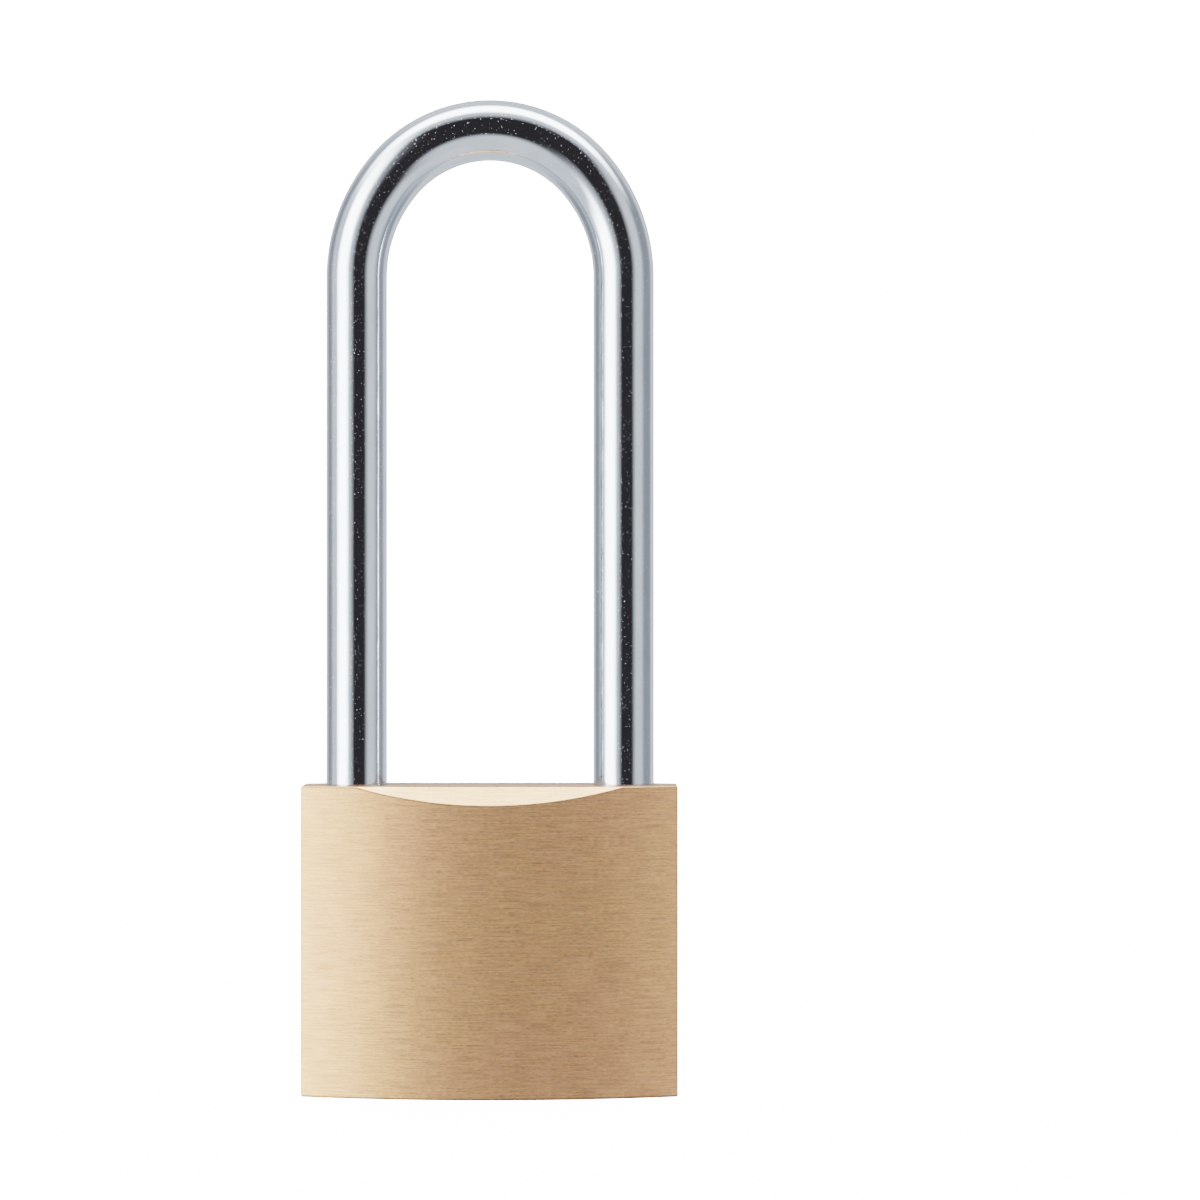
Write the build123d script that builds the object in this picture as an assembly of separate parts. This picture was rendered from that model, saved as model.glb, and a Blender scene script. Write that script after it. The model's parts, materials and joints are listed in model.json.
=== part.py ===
from build123d import *

import os
from math import cos, radians, sin, sqrt

# A long-shackle brass padlock, closed, with its key plug turned to the open position.
# Origin: middle of the underside of the body. +X to the heel leg, -Y to the front, +Z up. Millimetres.

# Body: a brass extrusion with crowned front and back
body_width = 40.0
body_height = 33.0
body_depth = 15.0
crown_radius = 54.0
top_bevel = 2.0
edge_break = 0.2
bore_break = 0.35

# Shackle: one bent rod with a short toe leg and a long heel leg
rod_radius = 3.25
leg_x = 14.25
bend_start_z = 87.13
shoulder_radius = 17.0
shoulder_angle = 40.0
toe_tip_z = 19.5
toe_tip_break = 0.8
heel_end_z = 9.45
heel_end_break = 0.3

# Shackle bores in the body
leg_bore_radius = 3.33
toe_bore_floor = 19.0
heel_bore_floor = 2.5

# Heel neck, which lets the shackle rise to its open height and no further
neck_radius = 2.1
neck_low = 12.4
neck_high = 29.5
heel_flat_top = 14.8

# Locking dogs, in one cross bore drilled from the toe side
dog_z = 26.5
dog_radius = 2.4
dog_bore_radius = 2.48
dog_bore_end_x = 15.25
dog_nose_x = 10.47
dog_nose_break = 0.4
dog_shank_end_x = 3.5
dog_arm_tip_x = 3.1
dog_arm_gap = 0.1
notch_face_x = 13.45
notch_half_height = 2.6
dog_bore_plug_inner_x = 17.7

# Cam and its two studs, which push the dogs apart
cam_radius = 4.2
cam_top_z = 23.9
stud_radius = 0.6
stud_circle = 2.0
stud_angle = 45.0
stud_top_z = 26.2
stud_slot_half_width = 0.72
stud_slot_inner_y = 0.6
stud_slot_roof_z = 26.35

# Plug
plug_radius = 4.45
plug_bore_radius = 4.5
plug_low = 0.2
plug_high = 21.2
plug_face_break = 0.25
keyway_half_width = 1.0
keyway_back_y = -4.0
keyway_front_y = 2.6
keyway_end_z = 15.4
ward_face_x = 0.35
ward_low_y = -1.9
ward_high_y = -0.8
tongue_length = 5.0
tongue_width = 2.0
tongue_depth = 1.3
tongue_clearance = 0.1

# Pin tumblers
first_pin_z = 3.6
pin_pitch = 3.3
pin_count = 4
pin_radius = 1.1
chamber_radius = 1.15
chamber_floor = 0.3
key_pin_tips = (0.9, 1.6, 1.2, 2.0)
key_pin_outer = 4.34
key_pin_tip_break = 0.5
pin_break = 0.15
driver_inner_x = 4.55
driver_outer_x = 8.55
chamber_plug_inner_x = 15.2

# Pin springs and the shackle spring
pin_spring_wire = 0.125
pin_spring_radius = 0.87
pin_spring_turns = 9
shackle_spring_wire = 0.35
shackle_spring_radius = 2.5
shackle_spring_turns = 7
spring_gap = 0.02

# Fixed pins that hold the plug and the shackle
retainer_z = 17.4
retainer_inner_x = 3.65
plug_groove_radius = 3.5
plug_groove_half_width = 1.2
heel_pin_z = 28.0
heel_pin_radius = 1.25
heel_pin_inner_x = 16.55

# How far a cutting shape runs past the surface that it cuts
overrun = 1.0

half_width = body_width / 2
from_base = (Align.CENTER, Align.CENTER, Align.MIN)


def rod_z(radius, low, high, x=0.0, y=0.0):
    """A round bar along Z between two heights."""
    return Pos(x, y, low) * Cylinder(radius, high - low, align=from_base)


def rod_x(radius, low, high, z):
    """A round bar along X between two places, at one height."""
    return Pos(low, 0, z) * Rot(0, 90, 0) * Cylinder(radius, high - low, align=from_base)


def rod_y(radius, low, high, z):
    """A round bar along Y between two places, at one height."""
    return Pos(0, low, z) * Rot(-90, 0, 0) * Cylinder(radius, high - low, align=from_base)


def block(x_range, y_range, z_range):
    """A box between the two ends of each range."""
    sizes = [high - low for low, high in (x_range, y_range, z_range)]
    return Pos(x_range[0], y_range[0], z_range[0]) * Box(*sizes, align=(Align.MIN,) * 3)


def break_ends(bar, axis, low_size, high_size):
    """Chamfer both end edges of a bar that lies along an axis."""
    bar = chamfer(bar.edges().group_by(axis)[0], low_size)
    return chamfer(bar.edges().group_by(axis)[-1], high_size)


def spring(wire_radius, coil_radius, length, turns):
    """A round-wire coil that stands on z = 0 and is as tall as its length."""
    rise = length - 2 * wire_radius
    path = Helix(pitch=rise / turns, height=rise, radius=coil_radius)
    section = Plane(origin=path @ 0, z_dir=path % 0) * Circle(wire_radius)
    return Pos(0, 0, wire_radius) * sweep(section, path=path, is_frenet=True)


def pin_heights():
    """The height of each tumbler chamber, from the key face up."""
    return [first_pin_z + i * pin_pitch for i in range(pin_count)]


def body_section():
    """The outline of the body from above: two crowned faces and two flat sides."""
    middle_y = body_depth / 2
    side_y = middle_y - (crown_radius - sqrt(crown_radius**2 - half_width**2))
    front = ThreePointArc((-half_width, -side_y), (0, -middle_y), (half_width, -side_y))
    right = Line((half_width, -side_y), (half_width, side_y))
    back = ThreePointArc((half_width, side_y), (0, middle_y), (-half_width, side_y))
    left = Line((-half_width, side_y), (-half_width, -side_y))
    return make_face([front, right, back, left])


def bevel_cutter():
    """The wedge over the front top edge, cut at 45 degrees into a crescent facet."""
    front_y = -body_depth / 2
    outline = Polyline(
        (front_y, body_height - top_bevel),
        (front_y + top_bevel + overrun, body_height + overrun),
        (front_y - overrun, body_height + overrun),
        (front_y - overrun, body_height - top_bevel - overrun),
        close=True,
    )
    wedge = extrude(Plane.YZ * make_face(outline), body_width)
    return Pos(-half_width, 0, 0) * wedge


def body_blank():
    """The extruded body with its bevels and small edge breaks, before any bore."""
    blank = extrude(body_section(), body_height)
    upright_edges = blank.edges().filter_by(Axis.Z)
    lower_edges = blank.edges().group_by(Axis.Z)[0]
    blank = chamfer(upright_edges + lower_edges, edge_break)
    front_bevel = bevel_cutter()
    return blank - front_bevel - Rot(0, 0, 180) * front_bevel


def leg_bore(x, floor_z):
    """A bore for one shackle leg, with a broken edge at the top of the body."""
    bore = rod_z(leg_bore_radius, floor_z, body_height + overrun, x=x)
    mouth = Cone(leg_bore_radius, leg_bore_radius + 2 * bore_break, 2 * bore_break)
    return bore + Pos(x, 0, body_height) * mouth


def lock_body():
    """The body with every bore drilled in it."""
    body = body_blank()
    body -= leg_bore(-leg_x, toe_bore_floor)
    body -= leg_bore(leg_x, heel_bore_floor)
    body -= rod_z(plug_bore_radius, -overrun, dog_z)
    body -= rod_x(dog_bore_radius, -half_width - overrun, dog_bore_end_x, dog_z)
    for z in pin_heights() + [retainer_z]:
        body -= rod_x(chamber_radius, -half_width - overrun, 0, z)
    body -= rod_x(heel_pin_radius, leg_x, half_width + overrun, heel_pin_z)
    return body


def shackle_path():
    """The centreline: toe leg, shoulder, crown, shoulder and heel leg, all tangent."""
    offset = shoulder_radius - leg_x
    crown_bend_radius = shoulder_radius - offset / cos(radians(shoulder_angle))
    crown_centre_z = bend_start_z + offset * sin(radians(shoulder_angle)) / cos(radians(shoulder_angle))
    crown = (0, crown_centre_z)
    toe_shoulder = (offset, bend_start_z)
    heel_shoulder = (-offset, bend_start_z)
    angle = shoulder_angle
    return [
        Line((-leg_x, toe_tip_z), (-leg_x, bend_start_z)),
        CenterArc(toe_shoulder, shoulder_radius, 180, -angle),
        CenterArc(crown, crown_bend_radius, 180 - angle, 2 * angle - 180),
        CenterArc(heel_shoulder, shoulder_radius, angle, -angle),
        Line((leg_x, bend_start_z), (leg_x, heel_end_z)),
    ]


def shackle():
    """The bent rod, with its locking notches, heel neck and heel flats."""
    path = Plane.XZ * Wire(shackle_path())
    section = Plane(origin=path @ 0, z_dir=path % 0) * Circle(rod_radius)
    rod = sweep(section, path=path)
    ends = rod.edges().filter_by(GeomType.CIRCLE).sort_by(Axis.Z)
    rod = chamfer(ends[0], heel_end_break)
    toe_edge = rod.edges().filter_by(GeomType.CIRCLE).filter_by_position(Axis.Z, toe_tip_z, toe_tip_z)
    rod = chamfer(toe_edge, toe_tip_break)
    collar = rod_z(rod_radius + overrun, neck_low, neck_high, x=leg_x)
    rod -= collar - rod_z(neck_radius, neck_low, neck_high, x=leg_x)
    notch_heights = (dog_z - notch_half_height, dog_z + notch_half_height)
    inner_leg_x = leg_x - rod_radius - overrun
    across = (-rod_radius - overrun, rod_radius + overrun)
    rod -= block((-notch_face_x, -inner_leg_x), across, notch_heights)
    rod -= block((inner_leg_x, notch_face_x), across, notch_heights)
    return rod - block((inner_leg_x, notch_face_x), across, (heel_end_z - overrun, heel_flat_top))


def keyway():
    """The slot for the key, with a ward that stands in from one side."""
    slot_z = (plug_low - overrun, keyway_end_z)
    slot = block((-keyway_half_width, keyway_half_width), (keyway_back_y, keyway_front_y), slot_z)
    ward = block((ward_face_x, keyway_half_width), (ward_low_y, ward_high_y), slot_z)
    return slot - ward


def plug():
    """The round plug that the key turns, with its chambers facing +Y."""
    body = break_ends(rod_z(plug_radius, plug_low, plug_high), Axis.Z, plug_face_break, edge_break)
    groove = (retainer_z - plug_groove_half_width, retainer_z + plug_groove_half_width)
    body -= rod_z(plug_radius + overrun, *groove) - rod_z(plug_groove_radius, *groove)
    body -= keyway()
    for z in pin_heights():
        body -= rod_y(chamber_radius, chamber_floor, plug_radius + overrun, z)
    half_length = tongue_length / 2 + tongue_clearance
    half_thickness = tongue_width / 2 + tongue_clearance
    slot_z = (plug_high - tongue_depth - tongue_clearance, plug_high + overrun)
    return body - block((-half_length, half_length), (-half_thickness, half_thickness), slot_z)


def cam():
    """The disc on the plug, with a tongue below and two studs above."""
    disc = break_ends(rod_z(cam_radius, plug_high, cam_top_z), Axis.Z, edge_break, edge_break)
    tongue = block(
        (-tongue_length / 2, tongue_length / 2),
        (-tongue_width / 2, tongue_width / 2),
        (plug_high - tongue_depth, plug_high + tongue_depth),
    )
    body = disc + tongue
    for side in (1, -1):
        x = side * stud_circle * cos(radians(stud_angle))
        y = side * stud_circle * sin(radians(stud_angle))
        body += rod_z(stud_radius, plug_high + tongue_depth, stud_top_z, x=x, y=y)
    return body


def toe_dog():
    """The dog for the toe leg: a round nose and shank, and a half-round arm over the cam."""
    shank = rod_x(dog_radius, -dog_nose_x, -dog_shank_end_x, dog_z)
    shank = chamfer(shank.edges().group_by(Axis.X)[0], dog_nose_break)
    low_z = dog_z - dog_radius - overrun
    high_z = dog_z + dog_radius + overrun
    arm_side = block((-dog_nose_x, dog_nose_x), (dog_arm_gap, dog_radius + overrun), (low_z, high_z))
    arm = rod_x(dog_radius, -dog_shank_end_x - overrun, dog_arm_tip_x, dog_z) & arm_side
    stud_x = stud_circle * cos(radians(stud_angle))
    stud_slot = block(
        (stud_x - stud_slot_half_width, stud_x + stud_slot_half_width),
        (stud_slot_inner_y, dog_radius + overrun),
        (low_z, stud_slot_roof_z),
    )
    return shank + arm - stud_slot


def key_pin(z, tip):
    """A pin in the plug, with a cone tip that rides on the key."""
    return break_ends(rod_y(pin_radius, tip, key_pin_outer, z), Axis.Y, key_pin_tip_break, pin_break)


def driver_pin(z):
    """A pin in the body, just outside the plug."""
    return break_ends(rod_x(pin_radius, -driver_outer_x, -driver_inner_x, z), Axis.X, pin_break, pin_break)


def pin_spring(z):
    """A coil behind a driver pin."""
    length = chamber_plug_inner_x - driver_outer_x - 2 * spring_gap
    coil = spring(pin_spring_wire, pin_spring_radius, length, pin_spring_turns)
    return Pos(-chamber_plug_inner_x + spring_gap, 0, z) * Rot(0, 90, 0) * coil


def shackle_spring():
    """The coil under the heel leg that lifts the shackle."""
    length = heel_end_z - heel_bore_floor - 2 * spring_gap
    coil = spring(shackle_spring_wire, shackle_spring_radius, length, shackle_spring_turns)
    return Pos(leg_x, 0, heel_bore_floor + spring_gap) * coil


def chamber_plug(z):
    """A short pin pressed into the outer end of a chamber and ground flush."""
    return rod_x(chamber_radius, -half_width, -chamber_plug_inner_x, z)


def plug_retaining_pin():
    """The pin whose inner end stands in the plug's groove."""
    pin = rod_x(pin_radius, -chamber_plug_inner_x, -retainer_inner_x, retainer_z)
    return break_ends(pin, Axis.X, pin_break, pin_break)


def dog_bore_plug():
    """The disc pressed into the outer end of the cross bore and ground flush."""
    return rod_x(dog_bore_radius, -half_width, -dog_bore_plug_inner_x, dog_z)


def shackle_retaining_pin():
    """The pin pressed in from the heel side, whose inner end stands beside the neck."""
    pin = rod_x(heel_pin_radius, heel_pin_inner_x, half_width, heel_pin_z)
    return chamfer(pin.edges().group_by(Axis.X)[0], pin_break)


def all_nodes():
    """Every piece of the padlock under its node name."""
    nodes = {
        "lock_body": lock_body(),
        "shackle": shackle(),
        "plug": plug(),
        "cam": cam(),
        "toe_dog": toe_dog(),
        "heel_dog": Rot(0, 0, 180) * toe_dog(),
        "plug_retaining_pin": plug_retaining_pin(),
        "retainer_plug": chamber_plug(retainer_z),
        "dog_bore_plug": dog_bore_plug(),
        "shackle_spring": shackle_spring(),
        "shackle_retaining_pin": shackle_retaining_pin(),
    }
    for number, (z, tip) in enumerate(zip(pin_heights(), key_pin_tips), start=1):
        nodes[f"key_pin_{number}"] = key_pin(z, tip)
        nodes[f"driver_pin_{number}"] = driver_pin(z)
        nodes[f"pin_spring_{number}"] = pin_spring(z)
        nodes[f"chamber_plug_{number}"] = chamber_plug(z)
    return nodes


os.makedirs("parts", exist_ok=True)
for node_name, shape in all_nodes().items():
    export_step(shape, f"parts/{node_name}.step")
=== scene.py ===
import json
from math import acos, asin, cos, pi, radians, sin, sqrt

import bmesh
import bpy
from mathutils import Matrix, Vector


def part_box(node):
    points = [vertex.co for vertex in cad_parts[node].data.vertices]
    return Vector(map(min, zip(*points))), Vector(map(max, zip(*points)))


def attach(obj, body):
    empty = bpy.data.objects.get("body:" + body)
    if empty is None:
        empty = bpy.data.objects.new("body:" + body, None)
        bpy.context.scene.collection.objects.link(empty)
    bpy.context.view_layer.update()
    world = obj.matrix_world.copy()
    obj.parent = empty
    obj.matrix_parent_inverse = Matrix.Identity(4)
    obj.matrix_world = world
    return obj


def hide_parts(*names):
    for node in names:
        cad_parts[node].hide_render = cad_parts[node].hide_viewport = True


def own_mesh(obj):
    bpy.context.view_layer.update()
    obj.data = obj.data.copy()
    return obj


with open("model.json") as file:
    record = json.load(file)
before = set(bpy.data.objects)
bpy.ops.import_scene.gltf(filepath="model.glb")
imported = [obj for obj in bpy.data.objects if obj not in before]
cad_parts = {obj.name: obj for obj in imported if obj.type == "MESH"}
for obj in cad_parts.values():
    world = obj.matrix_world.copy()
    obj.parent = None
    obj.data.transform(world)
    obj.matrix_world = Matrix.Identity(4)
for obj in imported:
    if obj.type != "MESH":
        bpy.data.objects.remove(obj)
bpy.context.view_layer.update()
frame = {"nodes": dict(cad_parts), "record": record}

# The drawing unit below is the millimetre; Blender's is the metre
MM = 0.001
same_point = 1e-7
sharp_corner = 32


def mm_box(node):
    """A CAD node's lowest and highest corners at rest, in millimetres."""
    low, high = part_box(node)
    return low / MM, high / MM


body_low, body_high = mm_box("lock_body")
shackle_low, shackle_high = mm_box("shackle")
plug_low, plug_high = mm_box("plug")
bolt_low, bolt_high = mm_box("toe_dog")
trim_low, trim_high = mm_box("retainer_plug")
heel_pin_low, heel_pin_high = mm_box("shackle_retaining_pin")
bolt_trim_low, bolt_trim_high = mm_box("dog_bore_plug")
spring_low, spring_high = mm_box("shackle_spring")

# Body
half_width = body_high.x
half_depth = body_high.y
height = body_high.z
crown_radius = 54.0
top_bevel = 2.0
edge_radius = 0.22
edge_steps = 4
crown_steps = 56
crown_end_steps = 10

# Shackle
rod_radius = shackle_high.y
leg_x = shackle_high.x - rod_radius
shoulder_radius = 17.0
shoulder_angle = radians(40)
toe_tip_z = 19.5
toe_break = 0.8
heel_end_z = shackle_low.z
heel_break = 0.3
neck_radius = 2.1
neck_low = 12.4
neck_high = 29.5
neck_fillet = 0.35
heel_flat_top = 14.8
notch_face_x = 13.45
notch_half_height = 2.6
rod_sides = 96
toe_steps = 6
leg_steps = 14
shoulder_steps = 24
hoop_steps = 48
neck_steps = 4

# Bores
leg_bore_radius = rod_radius + 0.08
bore_break = 0.35
toe_bore_floor = 19.0
heel_bore_floor = spring_low.z - 0.02
bolt_z = (bolt_low.z + bolt_high.z) / 2
bolt_bore_radius = (bolt_trim_high.z - bolt_trim_low.z) / 2
bolt_bore_end = 15.25
heel_pin_radius = (heel_pin_high.z - heel_pin_low.z) / 2
heel_pin_z = (heel_pin_high.z + heel_pin_low.z) / 2
chamber_radius = (trim_high.z - trim_low.z) / 2
trim_seam = 0.03

# Plug
plug_radius = plug_high.x
plug_bore_radius = plug_radius + 0.05
plug_bore_break = 0.2
plug_break = 0.25
keyway_half_width = 1.0
keyway_back = -4.0
keyway_front = 2.6
keyway_end = 15.4
keyway_corner = 0.25
keyway_break = 0.16
ward_face = 0.35
ward_low = -1.9
ward_high = -0.8
groove_radius = 3.5
groove_half_width = 1.2
chamber_floor = 0.3
retainer_z = (trim_low.z + trim_high.z) / 2
overrun = 1.0

# Coils behind the driver pins
tumblers = range(1, 5)
coil_turns = 9
coil_wire_radius = 0.125
coil_steps_per_turn = 24
coil_wire_sides = 10


def centre_z(node):
    """The height of a node's middle, in millimetres."""
    low, high = mm_box(node)
    return (low.z + high.z) / 2


chamber_heights = [centre_z(f"driver_pin_{number}") for number in tumblers]


# ---------------------------------------------------------------- mesh helpers


def new_object(name, mesh):
    """An object that holds the mesh, in the scene."""
    piece = bpy.data.objects.new(name, mesh)
    bpy.context.scene.collection.objects.link(piece)
    return piece


def object_from_bmesh(name, bm):
    """A closed object from a bmesh whose points are in metres."""
    bmesh.ops.remove_doubles(bm, verts=bm.verts, dist=same_point)
    bmesh.ops.recalc_face_normals(bm, faces=bm.faces)
    mesh = bpy.data.meshes.new(name)
    bm.to_mesh(mesh)
    bm.free()
    return new_object(name, mesh)


def bridge(bm, rings):
    """Quads between rings of points, with a flat cap on the first and the last."""
    rows = [[bm.verts.new(Vector(point) * MM) for point in ring] for ring in rings]
    count = len(rows[0])
    for low, high in zip(rows, rows[1:]):
        for i in range(count):
            j = (i + 1) % count
            bm.faces.new((low[i], low[j], high[j], high[i]))
    bm.faces.new(list(reversed(rows[0])))
    bm.faces.new(rows[-1])


def lathe(name, profile, sides=96):
    """A solid turned about Z from (radius, height) points."""
    turns = [2 * pi * i / sides for i in range(sides)]
    bm = bmesh.new()
    bridge(bm, [[(r * cos(a), r * sin(a), z) for a in turns] for r, z in profile])
    return object_from_bmesh(name, bm)


def prism(name, outline, low, high):
    """A straight solid between two heights, from (x, y) points."""
    bm = bmesh.new()
    bridge(bm, [[(x, y, z) for x, y in outline] for z in (low, high)])
    return object_from_bmesh(name, bm)


def box_cutter(x_range, y_range, z_range):
    """A plain block, used only to cut."""
    (x0, x1), (y0, y1) = x_range, y_range
    return prism("cutter", [(x0, y0), (x1, y0), (x1, y1), (x0, y1)], *z_range)


def move(piece, matrix):
    """Moves the mesh itself and leaves the object at the origin. The matrix is in millimetres."""
    matrix = matrix.copy()
    matrix.translation *= MM
    piece.data.transform(matrix)
    return piece


def apply_modifiers(piece):
    """Leaves the piece with its modifiers' result and no modifiers."""
    graph = bpy.context.evaluated_depsgraph_get()
    result = bpy.data.meshes.new_from_object(
        piece.evaluated_get(graph), preserve_all_data_layers=True, depsgraph=graph
    )
    piece.modifiers.clear()
    old = piece.data
    piece.data = result
    bpy.data.meshes.remove(old)


def cut(piece, cutter):
    """Takes the cutter out of the piece."""
    boolean = piece.modifiers.new("cut", "BOOLEAN")
    boolean.operation = "DIFFERENCE"
    boolean.solver = "EXACT"
    boolean.object = cutter
    apply_modifiers(piece)
    mesh = cutter.data
    bpy.data.objects.remove(cutter)
    bpy.data.meshes.remove(mesh)


def smooth(piece):
    """Smooth shading that keeps flat faces flat and true corners crisp."""
    piece.data.shade_smooth()
    piece.data.set_sharp_from_angle(angle=radians(sharp_corner))
    weighted = piece.modifiers.new("weighted", "WEIGHTED_NORMAL")
    weighted.keep_sharp = True
    weighted.weight = 100
    apply_modifiers(piece)


# ---------------------------------------------------------------- brass body


def between(low, high, steps):
    """Evenly spaced values from low to high, both ends included."""
    return [low + (high - low) * i / steps for i in range(steps + 1)]


def body_outline():
    """(centre, normal) pairs around the body; the skin lies one edge radius outside the centres."""
    inner_crown = crown_radius - edge_radius
    crown_centre = crown_radius - half_depth
    end = asin((half_width - edge_radius) / inner_crown)
    tip = bevel_tip_angle()
    angles = between(-end, -tip, crown_end_steps)[:-1]
    angles += between(-tip, tip, crown_steps)
    angles += between(tip, end, crown_end_steps)[1:]
    half = []
    for angle in angles:
        normal = Vector((sin(angle), -cos(angle), 0))
        half.append((Vector((0, crown_centre, 0)) + normal * inner_crown, normal))
    corner = half[-1][0]
    for angle in between(end, pi / 2, edge_steps)[1:]:
        half.append((corner, Vector((sin(angle), -cos(angle), 0))))
    for angle in between(pi / 2, end, edge_steps)[:-1]:
        half.append((Vector((corner.x, -corner.y, 0)), Vector((sin(angle), cos(angle), 0))))
    return half + [(-centre, -normal) for centre, normal in half]


def bevel_line_y():
    """How far from the middle the bevel meets the top, measured on the edge rounding's centres."""
    return half_depth - top_bevel - edge_radius * (sqrt(2) - 1)


def bevel_tip_angle():
    """The crown angle at which the bevel runs out."""
    crown_centre = crown_radius - half_depth
    return acos((crown_centre + bevel_line_y()) / (crown_radius - edge_radius))


def body_column(centre, normal):
    """The points up the skin at one place on the outline, from the underside to the top."""
    up = Vector((0, 0, 1))
    line_y = bevel_line_y()
    side = 1 if centre.y > 0 else -1
    bevelled = abs(centre.y) > line_y
    bevel_sum = half_depth + height - top_bevel - edge_radius * sqrt(2)
    wall_top = min(height - edge_radius, bevel_sum - abs(centre.y))
    facet = Vector((0, side, 1)).normalized() if bevelled else (normal + up).normalized()
    lower = centre + up * wall_top
    upper = Vector((centre.x, side * min(abs(centre.y), line_y), height - edge_radius))
    points = [centre]
    for angle in between(0, pi / 2, edge_steps)[1:]:
        points.append(centre + edge_radius * (sin(angle) * normal + (1 - cos(angle)) * up))
    for share in between(0, 1, edge_steps):
        points.append(lower + edge_radius * normal.lerp(facet, share).normalized())
    for share in between(0, 1, edge_steps):
        points.append(upper + edge_radius * facet.lerp(up, share).normalized())
    return points


def leg_bore(x, floor):
    """The cutter for one shackle bore, with a rounded mouth."""
    profile = [(leg_bore_radius, floor)]
    for angle in between(0, pi / 2, edge_steps):
        mouth = leg_bore_radius + bore_break * (1 - cos(angle))
        profile.append((mouth, height - bore_break * (1 - sin(angle))))
    profile.append((leg_bore_radius + bore_break, height + overrun))
    return move(lathe("cutter", profile), Matrix.Translation((x, 0, 0)))


def cross_bore(radius, start, end, z, mouth):
    """The cutter for a round bore along X, with a small break where it meets the side face."""
    outer = half_width + overrun
    profile = [(radius, start), (radius, end - mouth), (radius + mouth, end), (radius + mouth, outer)]
    bore = lathe("cutter", profile, sides=64)
    return move(bore, Matrix.Translation((0, 0, z)) @ Matrix.Rotation(-pi / 2, 4, "Y"))


def make_body():
    """The crowned brass body with its bores."""
    columns = [body_column(centre, normal) for centre, normal in body_outline()]
    bm = bmesh.new()
    bridge(bm, [list(ring) for ring in zip(*columns)])
    body = object_from_bmesh("brass_body", bm)
    cut(body, leg_bore(-leg_x, toe_bore_floor))
    cut(body, leg_bore(leg_x, heel_bore_floor))
    plug_bore = [
        (plug_bore_radius + plug_bore_break, -overrun),
        (plug_bore_radius + plug_bore_break, 0),
        (plug_bore_radius, plug_bore_break),
        (plug_bore_radius, bolt_z),
    ]
    cut(body, lathe("cutter", plug_bore))
    cut(body, cross_bore(bolt_bore_radius, -bolt_bore_end, half_width, bolt_z, trim_seam))
    for z in chamber_heights + [retainer_z]:
        cut(body, cross_bore(chamber_radius, 0, half_width, z, trim_seam))
    heel_pin_bore = cross_bore(heel_pin_radius, leg_x, half_width, 0, trim_seam)
    turn_round = Matrix.Translation((0, 0, heel_pin_z)) @ Matrix.Rotation(pi, 4, "Z")
    cut(body, move(heel_pin_bore, turn_round))
    smooth(body)
    mark_edge_shade_faces(body)
    return body


def is_wide_face(normal):
    """Whether a direction belongs to a wide face of the block and not to its edge rounding."""
    across, _, up = (abs(part) for part in normal)
    level = up < 0.02 and across < 0.38
    bevelled = abs(up - sqrt(0.5)) < 0.01 and across < 0.01
    return level or bevelled or across > 0.995 or up > 0.995


def mark_edge_shade_faces(piece):
    """Stores 1 on the faces of the edge rounding and 0 on the wide faces: the mask for the painted shade on
    the edges.
    """
    marks = piece.data.attributes.new("edge", "FLOAT", "FACE")
    for face in piece.data.polygons:
        marks.data[face.index].value = 0.0 if is_wide_face(face.normal) else 1.0


# ---------------------------------------------------------------- shackle


def shackle_rows():
    """(point, outward direction, radius) down the rod, from the toe tip to the heel end."""
    offset = shoulder_radius - leg_x
    crown_bend = shoulder_radius - offset / cos(shoulder_angle)
    crown_rise = offset * sin(shoulder_angle) / cos(shoulder_angle)
    bend_z = shackle_high.z - rod_radius - crown_bend - crown_rise
    toe, heel = Vector((-1, 0, 0)), Vector((1, 0, 0))
    rows = []
    for angle in between(0, pi / 2, toe_steps):
        z = toe_tip_z + toe_break * (1 - cos(angle))
        rows.append((Vector((-leg_x, 0, z)), toe, rod_radius - toe_break * (1 - sin(angle))))
    for z in between(toe_tip_z + toe_break, bend_z, leg_steps)[1:-1]:
        rows.append((Vector((-leg_x, 0, z)), toe, rod_radius))
    arcs = [
        (offset, bend_z, shoulder_radius, pi, pi - shoulder_angle, shoulder_steps),
        (0, bend_z + crown_rise, crown_bend, pi - shoulder_angle, shoulder_angle, hoop_steps),
        (-offset, bend_z, shoulder_radius, shoulder_angle, 0, shoulder_steps),
    ]
    for number, (x, z, radius, start, end, steps) in enumerate(arcs):
        for angle in between(start, end, steps)[min(number, 1):]:
            out = Vector((cos(angle), 0, sin(angle)))
            rows.append((Vector((x, 0, z)) + out * radius, out, rod_radius))
    for z in between(bend_z, neck_high, leg_steps - 2)[1:]:
        rows.append((Vector((leg_x, 0, z)), heel, rod_radius))
    for angle in between(0, pi / 2, neck_steps):
        z = neck_high - neck_fillet * sin(angle)
        rows.append((Vector((leg_x, 0, z)), heel, neck_radius + neck_fillet * (1 - sin(angle))))
    for angle in between(pi / 2, 0, neck_steps):
        z = neck_low + neck_fillet * sin(angle)
        rows.append((Vector((leg_x, 0, z)), heel, neck_radius + neck_fillet * (1 - sin(angle))))
    rows.append((Vector((leg_x, 0, neck_low)), heel, rod_radius))
    for angle in between(pi / 2, 0, neck_steps):
        z = heel_end_z + heel_break * (1 - cos(angle))
        rows.append((Vector((leg_x, 0, z)), heel, rod_radius - heel_break * (1 - sin(angle))))
    return rows


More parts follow.
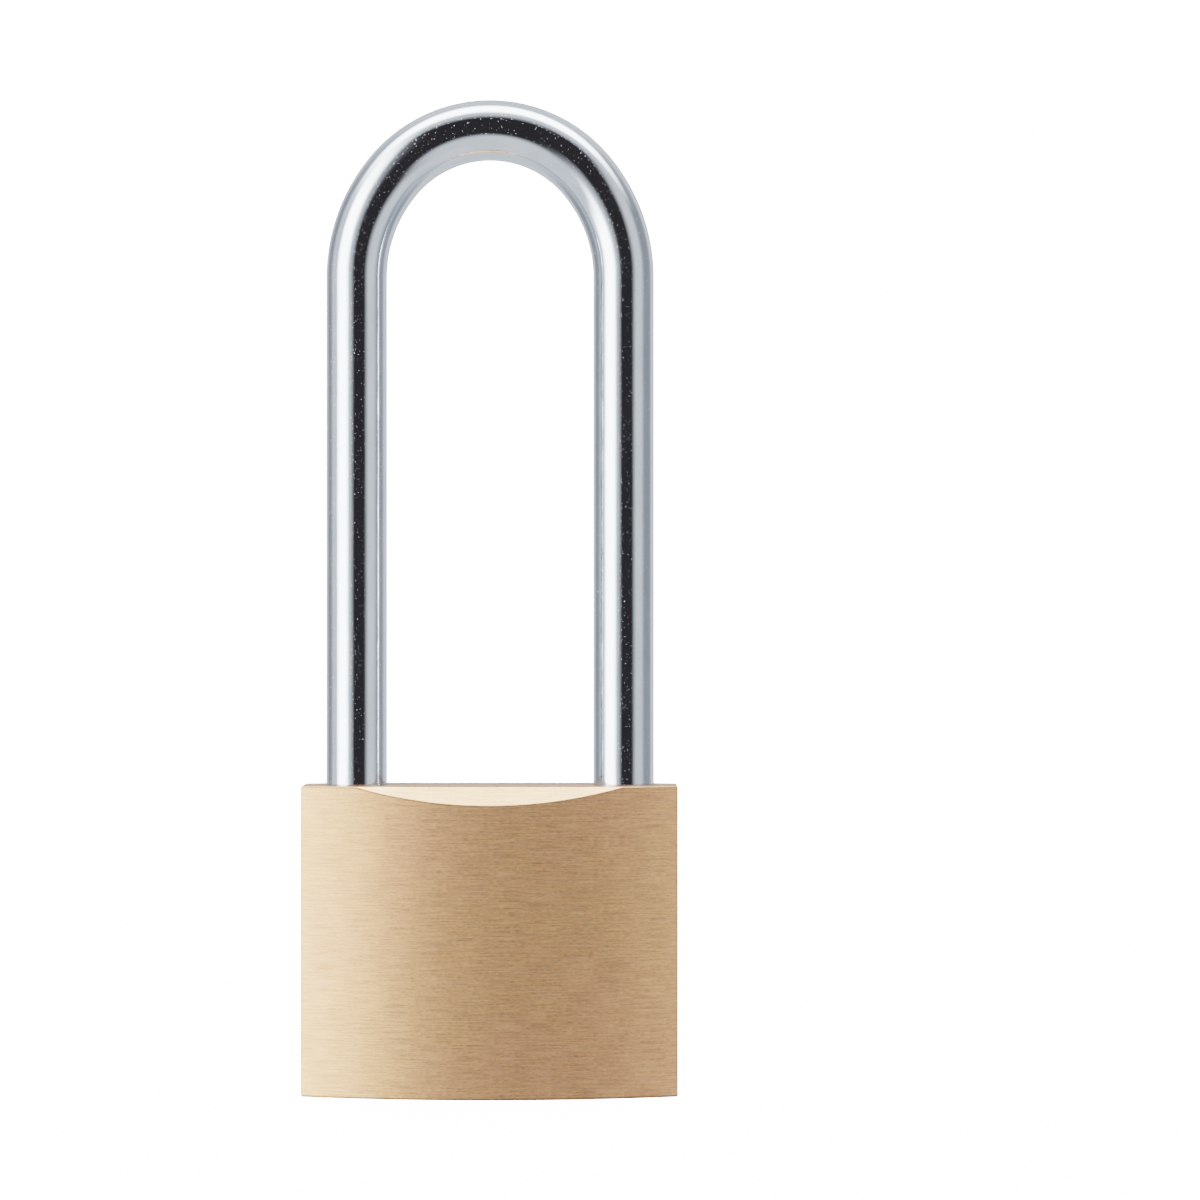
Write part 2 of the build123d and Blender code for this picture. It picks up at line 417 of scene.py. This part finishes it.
def make_shackle():
    """The bent rod, mapped in millimetres around and along it, with its notches and flats."""
    rows = shackle_rows()
    turns = between(0, 2 * pi, rod_sides)
    across = Vector((0, 1, 0))
    along = [0.0]
    for (low, _, _), (high, _, _) in zip(rows, rows[1:]):
        along.append(along[-1] + (high - low).length)
    bm = bmesh.new()
    uv = bm.loops.layers.uv.new("UVMap")
    rings = []
    for point, out, radius in rows:
        ring = [point + radius * (cos(a) * out + sin(a) * across) for a in turns[:-1]]
        rings.append([bm.verts.new(corner * MM) for corner in ring])
    for i, (low, high) in enumerate(zip(rings, rings[1:])):
        for j in range(rod_sides):
            k = (j + 1) % rod_sides
            face = bm.faces.new((low[j], low[k], high[k], high[j]))
            corners = ((j, i), (j + 1, i), (j + 1, i + 1), (j, i + 1))
            for loop, (side, row) in zip(face.loops, corners):
                loop[uv].uv = (turns[side] * rod_radius, along[row])
    bm.faces.new(list(reversed(rings[0])))
    bm.faces.new(rings[-1])
    shackle = object_from_bmesh("bent_shackle", bm)
    notch = (bolt_z - notch_half_height, bolt_z + notch_half_height)
    wide = (-rod_radius - overrun, rod_radius + overrun)
    inner = leg_x - rod_radius - overrun
    cut(shackle, box_cutter((-notch_face_x, -inner), wide, notch))
    cut(shackle, box_cutter((inner, notch_face_x), wide, notch))
    cut(shackle, box_cutter((inner, notch_face_x), wide, (heel_end_z - overrun, heel_flat_top)))
    smooth(shackle)
    return shackle


# ---------------------------------------------------------------- key plug


def keyway_outline(grow=0.0):
    """The keyway's outline seen along the plug, with its ward on the +X side."""
    right = keyway_half_width + grow
    front = keyway_front + grow
    back = keyway_back - grow
    ward = ward_face + grow
    corner = keyway_corner
    points = []
    for x, y, start in ((right - corner, front - corner, 0), (corner - right, front - corner, 90)):
        for angle in between(radians(start), radians(start + 90), edge_steps):
            points.append((x + corner * cos(angle), y + corner * sin(angle)))
    for x, y, start in ((corner - right, back + corner, 180), (right - corner, back + corner, 270)):
        for angle in between(radians(start), radians(start + 90), edge_steps):
            points.append((x + corner * cos(angle), y + corner * sin(angle)))
    points += [(right, ward_low + grow), (ward, ward_low + grow)]
    points += [(ward, ward_high - grow), (right, ward_high - grow)]
    return points


def make_plug():
    """The turned plug with its keyway, pin chambers and retaining groove."""
    low, high = plug_low.z, plug_high.z
    profile = []
    for angle in between(0, pi / 2, edge_steps):
        profile.append((plug_radius - plug_break * (1 - sin(angle)), low + plug_break * (1 - cos(angle))))
    groove_low, groove_high = retainer_z - groove_half_width, retainer_z + groove_half_width
    profile += [(plug_radius, groove_low), (groove_radius, groove_low)]
    profile += [(groove_radius, groove_high), (plug_radius, groove_high), (plug_radius, high)]
    plug = lathe("key_plug", profile)
    bm = bmesh.new()
    mouth = low + keyway_break
    rings = [(low - overrun, keyway_break), (low, keyway_break), (mouth, 0), (keyway_end, 0)]
    bridge(bm, [[(x, y, z) for x, y in keyway_outline(grow)] for z, grow in rings])
    cut(plug, object_from_bmesh("cutter", bm))
    for z in chamber_heights:
        chamber_line = [(chamber_radius, chamber_floor), (chamber_radius, plug_radius + overrun)]
        chamber = lathe("cutter", chamber_line, sides=48)
        cut(plug, move(chamber, Matrix.Translation((0, 0, z)) @ Matrix.Rotation(-pi / 2, 4, "X")))
    smooth(plug)
    return plug


# ---------------------------------------------------------------- coils


def make_coil(number):
    """The round-wire coil behind one driver pin, along X."""
    low, high = mm_box(f"pin_spring_{number}")
    middle = Vector((low.x + coil_wire_radius, 0, (low.z + high.z) / 2))
    coil_radius = (high.z - low.z) / 2 - coil_wire_radius
    rise = high.x - low.x - 2 * coil_wire_radius
    along = Vector((1, 0, 0))
    section = between(0, 2 * pi, coil_wire_sides)[:-1]
    full_turn = 2 * pi * coil_turns
    rings = []
    for turn in between(0, full_turn, coil_turns * coil_steps_per_turn):
        out = Vector((0, cos(turn), sin(turn)))
        point = middle + along * (rise * turn / full_turn) + out * coil_radius
        rings.append([point + coil_wire_radius * (cos(a) * out + sin(a) * along) for a in section])
    bm = bmesh.new()
    bridge(bm, rings)
    coil = object_from_bmesh(f"driver_coil_{number}", bm)
    smooth(coil)
    return coil


def press_coil(coil):
    """Gives the coil a mesh of its own."""
    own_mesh(coil)


# ---------------------------------------------------------------- materials


class Graph:
    """Short forms for building one shader tree."""

    def __init__(self, tree):
        self.tree = tree
        tree.nodes.clear()

    def node(self, kind, **settings):
        made = self.tree.nodes.new(kind)
        for name, value in settings.items():
            setattr(made, name, value)
        return made

    def feed(self, socket, value):
        """Links a socket to another node's output, or sets it."""
        if isinstance(value, bpy.types.NodeSocket):
            self.tree.links.new(value, socket)
        else:
            socket.default_value = value

    def math(self, operation, *values):
        made = self.node("ShaderNodeMath", operation=operation)
        for socket, value in zip(made.inputs, values):
            self.feed(socket, value)
        return made.outputs[0]

    def vector(self, operation, *values):
        made = self.node("ShaderNodeVectorMath", operation=operation)
        for socket, value in zip(made.inputs, values):
            self.feed(socket, value)
        return made.outputs[0]

    def split(self, vector):
        made = self.node("ShaderNodeSeparateXYZ")
        self.feed(made.inputs[0], vector)
        return made.outputs

    def join(self, x, y, z):
        made = self.node("ShaderNodeCombineXYZ")
        for socket, value in zip(made.inputs, (x, y, z)):
            self.feed(socket, value)
        return made.outputs[0]

    def noise(self, vector, scale, detail, roughness):
        made = self.node("ShaderNodeTexNoise")
        self.feed(made.inputs["Vector"], vector)
        made.inputs["Scale"].default_value = scale
        made.inputs["Detail"].default_value = detail
        made.inputs["Roughness"].default_value = roughness
        return made.outputs["Fac"]

    def spread(self, value, low, high, to_low=0.0, to_high=1.0, smooth_step=True):
        """Maps low..high to to_low..to_high, held at both ends."""
        made = self.node("ShaderNodeMapRange", clamp=True)
        made.interpolation_type = "SMOOTHSTEP" if smooth_step else "LINEAR"
        for socket, number in zip(made.inputs, (value, low, high, to_low, to_high)):
            self.feed(socket, number)
        return made.outputs[0]

    def mix(self, share, low, high):
        made = self.node("ShaderNodeMix", data_type="RGBA")
        self.feed(made.inputs["Factor"], share)
        self.feed(made.inputs[6], low)
        self.feed(made.inputs[7], high)
        return made.outputs[2]

    def mix_value(self, share, low, high):
        made = self.node("ShaderNodeMix", data_type="FLOAT")
        self.feed(made.inputs["Factor"], share)
        self.feed(made.inputs[2], low)
        self.feed(made.inputs[3], high)
        return made.outputs[0]

    def bump(self, height_value, distance):
        made = self.node("ShaderNodeBump")
        self.feed(made.inputs["Height"], height_value)
        made.inputs["Distance"].default_value = distance
        made.inputs["Strength"].default_value = 1.0
        return made.outputs[0]


def colour(red, green, blue):
    """A linear colour with full alpha."""
    return (red, green, blue, 1.0)


# Brass finish and painted shade: marks are (length, width) in metres, shares add up to 1, and tones multiply
# the brass's colour. The edge and top tones are painted shade that darkens the edge rounding and the flat
# top
short_scratch = (0.00055, 0.00014)
long_scratch = (0.0038, 0.00015)
short_share = 0.42
long_share = 0.46
mottle_share = 0.12
grain_contrast = 0.45
greenish = (0.992, 1.010, 0.985)
rosy = (1.010, 0.990, 1.018)
# Painted shade: these two tones darken the edge rounding and the flat top, standing in for dark reflections
# and shade
edge_painted_shade = (0.55, 0.58, 0.62)
top_painted_shade = (0.55, 0.62, 0.72)
plain_tone = colour(1, 1, 1)

# Plating finish: marks are (around, along) the rod in millimetres
draw_line = (0.24, 5.0)
pit = (0.15, 0.17)
cloud_patch = (1.6, 6.0)


def metal(name):
    """An empty metal material, its graph and its shader."""
    material = bpy.data.materials.new(name)
    material.use_nodes = True
    graph = Graph(material.node_tree)
    shader = graph.node("ShaderNodeBsdfPrincipled")
    output = graph.node("ShaderNodeOutputMaterial")
    graph.feed(output.inputs["Surface"], shader.outputs[0])
    shader.inputs["Metallic"].default_value = 1.0
    return material, graph, shader


def stretched_noise(graph, first, second, first_size, second_size, seed, detail):
    """Noise over two coordinates whose marks are first_size by second_size."""
    place = graph.join(
        graph.math("MULTIPLY", first, 1 / first_size), graph.math("MULTIPLY", second, 1 / second_size), seed
    )
    return graph.noise(place, 1.0, detail, 0.6)


def faced_coordinates(graph):
    """(along, across) places on a block's faces: along is level, and across is up or into the depth."""
    place = graph.split(graph.node("ShaderNodeTexCoord").outputs["Object"])
    normal = graph.split(graph.node("ShaderNodeNewGeometry").outputs["True Normal"])
    on_side = graph.math("GREATER_THAN", graph.math("ABSOLUTE", normal[0]), 0.8)
    on_top = graph.math("GREATER_THAN", graph.math("ABSOLUTE", normal[2]), 0.8)
    along = graph.mix_value(on_side, place[0], place[1])
    across = graph.mix_value(on_top, place[2], place[1])
    return along, across


def level_tangent(graph):
    """The level direction in each face, for brushing that runs round the block."""
    normal = graph.node("ShaderNodeNewGeometry").outputs["Normal"]
    return graph.vector("CROSS_PRODUCT", normal, (0.0, 0.05, 1.0))


def brushed_brass(name, tint, roughness, bevel_gain, grain_depth):
    """Brass brushed along its level direction, with painted shade that darkens its edges and its flat top.
    """
    material, graph, shader = metal(name)
    along, across = faced_coordinates(graph)
    short = stretched_noise(graph, along, across, *short_scratch, 0.0, 2)
    long = stretched_noise(graph, along, across, *long_scratch, 3.0, 2)
    mottle = graph.noise(graph.node("ShaderNodeTexCoord").outputs["Object"], 420, 4, 0.6)
    drift = graph.noise(graph.node("ShaderNodeTexCoord").outputs["Object"], 75, 2, 0.5)
    shade = graph.math("MULTIPLY", short, short_share)
    for part, weight in ((long, long_share), (mottle, mottle_share)):
        shade = graph.math("ADD", shade, graph.math("MULTIPLY", part, weight))
    dark = colour(*[part * (1 - grain_contrast) for part in tint])
    light = colour(*[part * (1 + grain_contrast) for part in tint])
    grained = graph.mix(graph.spread(shade, 0.28, 0.72, smooth_step=False), dark, light)
    drift_tone = graph.mix(graph.spread(drift, 0.35, 0.65), colour(*greenish), colour(*rosy))
    toned = graph.vector("MULTIPLY", grained, drift_tone)
    # Painted shade: faces marked as edge rounding get a darker colour, standing in for dark reflections on
    # the edges
    edge = graph.node("ShaderNodeAttribute", attribute_name="edge").outputs["Fac"]
    edge_shaded = graph.vector("MULTIPLY", toned, graph.mix(edge, plain_tone, colour(*edge_painted_shade)))
    facing = graph.split(graph.node("ShaderNodeNewGeometry").outputs["True Normal"])
    # Painted shade: the flat top gets a darker, greyer colour, standing in for shade there
    on_top = graph.spread(facing[2], 0.90, 0.98)
    top_shaded = graph.vector("MULTIPLY", edge_shaded, graph.mix(on_top, plain_tone, colour(*top_painted_shade)))
    graph.feed(shader.inputs["Base Color"], top_shaded)
    on_bevel = graph.spread(facing[2], 0.35, 0.60)
    bevel_finish = graph.mix_value(on_bevel, roughness, roughness - bevel_gain)
    grain = graph.spread(short, 0.3, 0.7, -0.04, 0.04)
    graph.feed(shader.inputs["Roughness"], graph.math("ADD", bevel_finish, grain))
    shader.inputs["Anisotropic"].default_value = 0.82
    shader.inputs["Anisotropic Rotation"].default_value = 0.25
    graph.feed(shader.inputs["Tangent"], level_tangent(graph))
    graph.feed(shader.inputs["Normal"], graph.bump(graph.math("ADD", short, long), grain_depth))
    return material


def plated_steel(name):
    """Bright plating over a drawn rod: draw lines along it, fine pits and faint cloudy patches."""
    material, graph, shader = metal(name)
    around, along, _ = graph.split(graph.node("ShaderNodeTexCoord").outputs["UV"])
    lines = stretched_noise(graph, around, along, *draw_line, 0.0, 2)
    pits = stretched_noise(graph, around, along, *pit, 5.0, 1)
    cloud = stretched_noise(graph, around, along, *cloud_patch, 9.0, 3)
    shade = graph.mix(graph.spread(cloud, 0.35, 0.65), colour(0.72, 0.765, 0.82), colour(0.80, 0.835, 0.88))
    graph.feed(shader.inputs["Base Color"], shade)
    pitted = graph.spread(pits, 0.69, 0.76)
    graph.feed(shader.inputs["Roughness"], graph.mix_value(pitted, 0.06, 0.24))
    relief = graph.math("ADD", graph.math("MULTIPLY", lines, 0.35), pitted)
    graph.feed(shader.inputs["Normal"], graph.bump(relief, 0.000009))
    return material


def turned_metal(name, tint, roughness, ring_axis):
    """Turned metal: fine rings about an axis, with faint tarnish."""
    material, graph, shader = metal(name)
    place = graph.node("ShaderNodeTexCoord").outputs["Object"]
    parts = graph.split(place)
    squares = [graph.math("POWER", parts[i], 2.0) for i in range(3) if i != ring_axis]
    radius = graph.math("SQRT", graph.math("ADD", *squares))
    rings = stretched_noise(graph, radius, parts[ring_axis], 1 / 6000, 1 / 4000, 0.0, 2)
    tarnish = graph.noise(place, 500, 3, 0.6)
    light = colour(*tint)
    dark = colour(*[c * 0.8 for c in tint])
    graph.feed(shader.inputs["Base Color"], graph.mix(graph.spread(tarnish, 0.35, 0.7), light, dark))
    graph.feed(shader.inputs["Roughness"], graph.spread(rings, 0.3, 0.7, roughness - 0.05, roughness + 0.07))
    shader.inputs["Anisotropic"].default_value = 0.4
    graph.feed(shader.inputs["Normal"], graph.bump(rings, 0.00001))
    return material


def dress(piece, material):
    """Gives the piece one material."""
    piece.data.materials.clear()
    piece.data.materials.append(material)


# ---------------------------------------------------------------- the object

brass_tint = (0.91, 0.515, 0.28)
trim_tint = (0.80, 0.50, 0.28)
body_brass = brushed_brass("body_brass", brass_tint, 0.58, 0.27, 0.000004)
trim_brass = brushed_brass("trim_brass", trim_tint, 0.46, 0.0, 0.000004)
plug_brass = turned_metal("plug_brass", (0.80, 0.58, 0.33), 0.26, 2)
pin_brass = turned_metal("pin_brass", (0.80, 0.58, 0.33), 0.24, 0)
plating = plated_steel("plated_steel")
pin_steel = turned_metal("pin_steel", (0.56, 0.57, 0.58), 0.30, 0)
bolt_steel = turned_metal("bolt_steel", (0.50, 0.51, 0.52), 0.32, 0)
spring_steel = turned_metal("spring_steel", (0.45, 0.45, 0.46), 0.28, 2)

pieces = [
    (make_body(), "body", "lock_body", "body_brass", body_brass),
    (make_shackle(), "shackle", "shackle", "shackle_chrome", plating),
    (make_plug(), "plug", "plug", "plug_brass", plug_brass),
]
for piece, body, node, slot, material in pieces:
    dress(piece, material)
    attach(piece, body)
    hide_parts(node)

for number in tumblers:
    coil = make_coil(number)
    dress(coil, spring_steel)
    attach(coil, "body")
    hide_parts(f"pin_spring_{number}")
    press_coil(coil)

slot_materials = {
    "plug_brass": plug_brass,
    "pin_brass": pin_brass,
    "trim_brass": trim_brass,
    "dog_steel": bolt_steel,
    "pin_steel": pin_steel,
    "spring_steel": spring_steel,
}
node_slots = {part["node"]: part["material_slot"] for part in frame["record"]["subparts"]}
for node, shown in frame["nodes"].items():
    if node_slots[node] in slot_materials:
        dress(shown, slot_materials[node_slots[node]])

# ---------------------------------------------------------------- stage, light and camera

view_distance = 0.502
view_x = 0.01173
view_z = 0.0527
lens = 141.0
floor_glow = 11.0

# The floor, in metres
floor_reach = 3.0
floor_back = 1.2
floor_curve = 0.8
floor_curve_steps = 16

# The studio: pale walls with a few soft-edged panels. The round runs from the viewer at 0 to the right
# at 90, and the arch from the viewer at 0, over the top at 90, to the back at 180, in degrees. The left
# softbox fades out below the height where its foot stands, given as the upward part of a direction
walls = (0.78, 0.82, 0.86)
softbox = (6.8, 6.9, 7.0)
softbox_foot = -0.42
softbox_foot_edge = 0.30
unlit = (0.035, 0.032, 0.034)
dim = (0.30, 0.33, 0.36)
left_softbox = {"middle": -53, "half": 8, "edge": 21, "light": softbox}
top_softbox = {"middle": 85, "half": 5, "edge": 18, "light": softbox}
room_behind_camera = {"middle": 12, "half": 16, "edge": 24, "light": unlit}
room_over_camera = {"middle": 14, "half": 27, "edge": 19, "light": unlit}
right_gap = {"middle": 100, "half": 12, "edge": 22, "light": dim}
left_gap = {"middle": -120, "half": 6, "edge": 20, "light": dim}


def make_floor():
    """A wide pale floor that curves up behind."""
    profile = [(-floor_reach, 0.0), (floor_back, 0.0)]
    for angle in between(0, pi / 2, floor_curve_steps)[1:]:
        profile.append((floor_back + floor_curve * sin(angle), floor_curve * (1 - cos(angle))))
    profile.append((floor_back + floor_curve, floor_reach))
    bm = bmesh.new()
    rows = [[bm.verts.new((x, y, z)) for y, z in profile] for x in (-floor_reach, floor_reach)]
    for i in range(len(profile) - 1):
        bm.faces.new((rows[0][i], rows[1][i], rows[1][i + 1], rows[0][i + 1]))
    mesh = bpy.data.meshes.new("floor")
    bm.to_mesh(mesh)
    bm.free()
    mesh.shade_smooth()
    floor = new_object("floor", mesh)
    material = bpy.data.materials.new("floor_paper")
    material.use_nodes = True
    graph = Graph(material.node_tree)
    paper = graph.node("ShaderNodeBsdfDiffuse")
    paper.inputs["Color"].default_value = colour(0.8, 0.8, 0.8)
    glow = graph.node("ShaderNodeEmission")
    glow.inputs["Color"].default_value = colour(1.0, 1.0, 1.0)
    glow.inputs["Strength"].default_value = floor_glow
    both = graph.node("ShaderNodeAddShader")
    graph.feed(both.inputs[0], paper.outputs[0])
    graph.feed(both.inputs[1], glow.outputs[0])
    output = graph.node("ShaderNodeOutputMaterial")
    graph.feed(output.inputs["Surface"], both.outputs[0])
    dress(floor, material)
    floor.visible_glossy = False


def panel_share(graph, degrees, panel):
    """1 on the panel and 0 away from it, with a soft edge, against one angle."""
    away = graph.math("ABSOLUTE", graph.math("SUBTRACT", degrees, float(panel["middle"])))
    return graph.spread(away, panel["half"], panel["half"] + panel["edge"], 1.0, 0.0)


def lit_by(graph, degrees, light, panels):
    """The light with the panels laid over it, against one angle."""
    for panel in panels:
        light = graph.mix(panel_share(graph, degrees, panel), light, colour(*panel["light"]))
    return light


def make_world():
    """The studio around the object. Level directions see the round, and steep ones see the arch."""
    world = bpy.data.worlds.new("studio")
    bpy.context.scene.world = world
    world.use_nodes = True
    graph = Graph(world.node_tree)
    direction = graph.split(graph.node("ShaderNodeTexCoord").outputs["Generated"])
    ahead = graph.math("MULTIPLY", direction[1], -1.0)
    azimuth = graph.math("MULTIPLY", graph.math("ARCTAN2", direction[0], ahead), 180 / pi)
    pitch = graph.math("MULTIPLY", graph.math("ARCTAN2", direction[2], ahead), 180 / pi)
    rise, run = graph.math("ABSOLUTE", direction[2]), graph.math("ABSOLUTE", direction[0])
    steepness = graph.math("ARCTAN2", rise, run)
    share = graph.spread(steepness, radians(24), radians(66))
    above_floor = graph.spread(direction[2], softbox_foot, softbox_foot + softbox_foot_edge)
    beside = graph.math("MULTIPLY", panel_share(graph, azimuth, left_softbox), above_floor)
    boxed = graph.mix(beside, colour(*walls), colour(*softbox))
    around = lit_by(graph, azimuth, boxed, [left_gap, right_gap, room_behind_camera])
    over = lit_by(graph, pitch, colour(*walls), [top_softbox, room_over_camera])
    lit = graph.node("ShaderNodeBackground")
    graph.feed(lit.inputs["Color"], graph.mix(share, around, over))
    seen = graph.node("ShaderNodeBackground")
    seen.inputs["Color"].default_value = colour(1.0, 1.0, 1.0)
    seen.inputs["Strength"].default_value = floor_glow
    path = graph.node("ShaderNodeLightPath")
    either = graph.node("ShaderNodeMixShader")
    graph.feed(either.inputs[0], path.outputs["Is Camera Ray"])
    graph.feed(either.inputs[1], lit.outputs[0])
    graph.feed(either.inputs[2], seen.outputs[0])
    output = graph.node("ShaderNodeOutputWorld")
    graph.feed(output.inputs["Surface"], either.outputs[0])


def make_camera():
    """The camera at the lock's mid height, square to its front."""
    data = bpy.data.cameras.new("camera")
    data.lens = lens
    data.sensor_width = 36.0
    camera = new_object("camera", data)
    camera.location = (view_x, -view_distance, view_z)
    camera.rotation_euler = (pi / 2, 0, 0)
    bpy.context.scene.camera = camera


make_floor()
make_world()
make_camera()
bpy.context.scene.view_settings.view_transform = "Filmic"
bpy.context.scene.view_settings.look = "Medium High Contrast"
